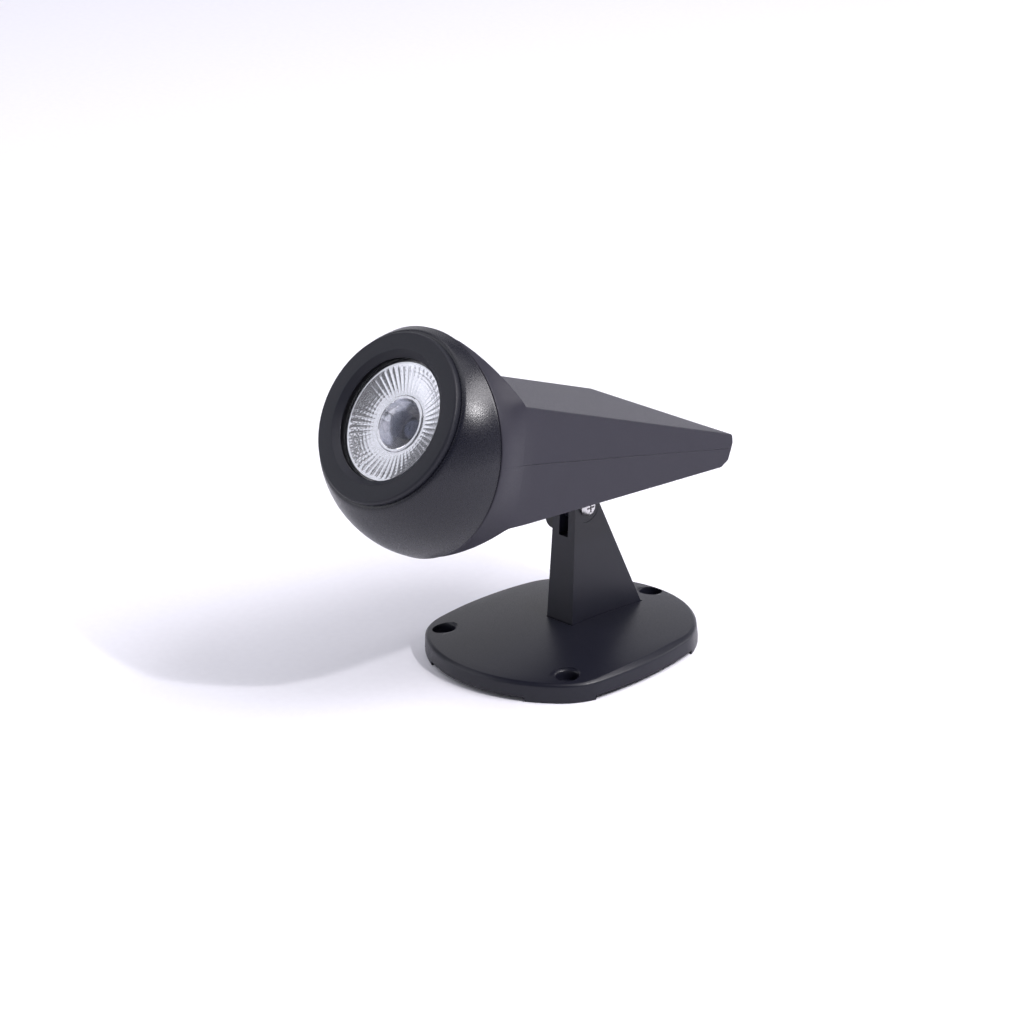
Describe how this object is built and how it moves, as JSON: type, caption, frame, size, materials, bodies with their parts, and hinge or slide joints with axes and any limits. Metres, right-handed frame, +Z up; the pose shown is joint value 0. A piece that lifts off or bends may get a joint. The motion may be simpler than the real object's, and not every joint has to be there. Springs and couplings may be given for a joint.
{
  "type": "garden spotlight",
  "caption": "Garden spotlight with a ball-and-wedge lamp head that tilts on a tapered stand and a screw-down base plate.",
  "frame": {"origin": "point on the floor in the base plate's plane of symmetry, under the front part of the stand; the feet rest on z = 0", "axes": "+Z up, -Y towards the side the light leaves, +X towards the pivot screw's head; the head and base are symmetric about x = 0"},
  "size_m": [0.1026, 0.1749, 0.1611],
  "materials": {
    "base_paint": "fine-textured satin powder coat, anthracite",
    "body_plastic": "fine-textured moulded shell, anthracite",
    "cap_paint": "fine-textured satin moulding, anthracite",
    "steel": "zinc-plated",
    "black_nylon": "moulded nylon",
    "washer_fibre": "fibre",
    "black_rubber": "soft",
    "driver_plastic": "moulded",
    "white_plastic": "moulded",
    "ceramic": "unglazed steatite",
    "wire_red": "silicone insulation",
    "glass": "clear flat cover glass",
    "reflector_silver": "faceted mirror coat",
    "capsule_glass": "frosted"
  },
  "bodies": {
    "base": {"base_plate": "base_paint", "stand": "base_paint", "stand_screws": "steel", "pivot_screw": "steel"},
    "wing_nut": {"wing_nut": "black_nylon", "lock_nut": "steel"},
    "head": {"friction_washers": "washer_fibre", "tilt_lug": "base_paint", "lug_screws": "steel", "lower_shell": "body_plastic", "upper_shell": "body_plastic", "shell_screws": "steel", "cable_gland": "black_nylon", "gland_seal": "black_rubber", "gland_cap": "black_nylon", "gland_locknut": "black_nylon", "driver_case": "driver_plastic", "driver_lid": "driver_plastic", "driver_screws": "steel", "terminal_block": "white_plastic", "terminal_screws": "steel", "supply_wires": "wire_red"},
    "cap": {"front_cap": "cap_paint", "seam_seal": "black_rubber", "bezel_ring": "cap_paint", "bezel_screws": "steel", "front_glass": "glass", "glass_gasket": "black_rubber", "reflector": "reflector_silver", "lamp_capsule": "capsule_glass", "lamp_base": "ceramic", "lamp_pins": "steel", "lamp_clip": "steel", "lamp_holder": "ceramic", "lamp_leads": "white_plastic", "lead_plug": "white_plastic"}
  },
  "joints": [
    {"name": "head_tilt", "type": "hinge", "parent": "base", "child": "head", "pos_m": [0, -0.0065, 0.0625], "axis": [-1, 0, 0], "range_deg": [-35, 55]},
    {"name": "cap_turn", "type": "hinge", "parent": "head", "child": "cap", "pos_m": [0, -0.0828, 0.1129], "axis": [0, -0.9728, 0.2317], "range_deg": [0, 30]},
    {"name": "wing_nut_turn", "type": "hinge", "parent": "base", "child": "wing_nut", "pos_m": [-0.0066, -0.0065, 0.0625], "axis": [1, 0, 0], "continuous": true}
  ]
}
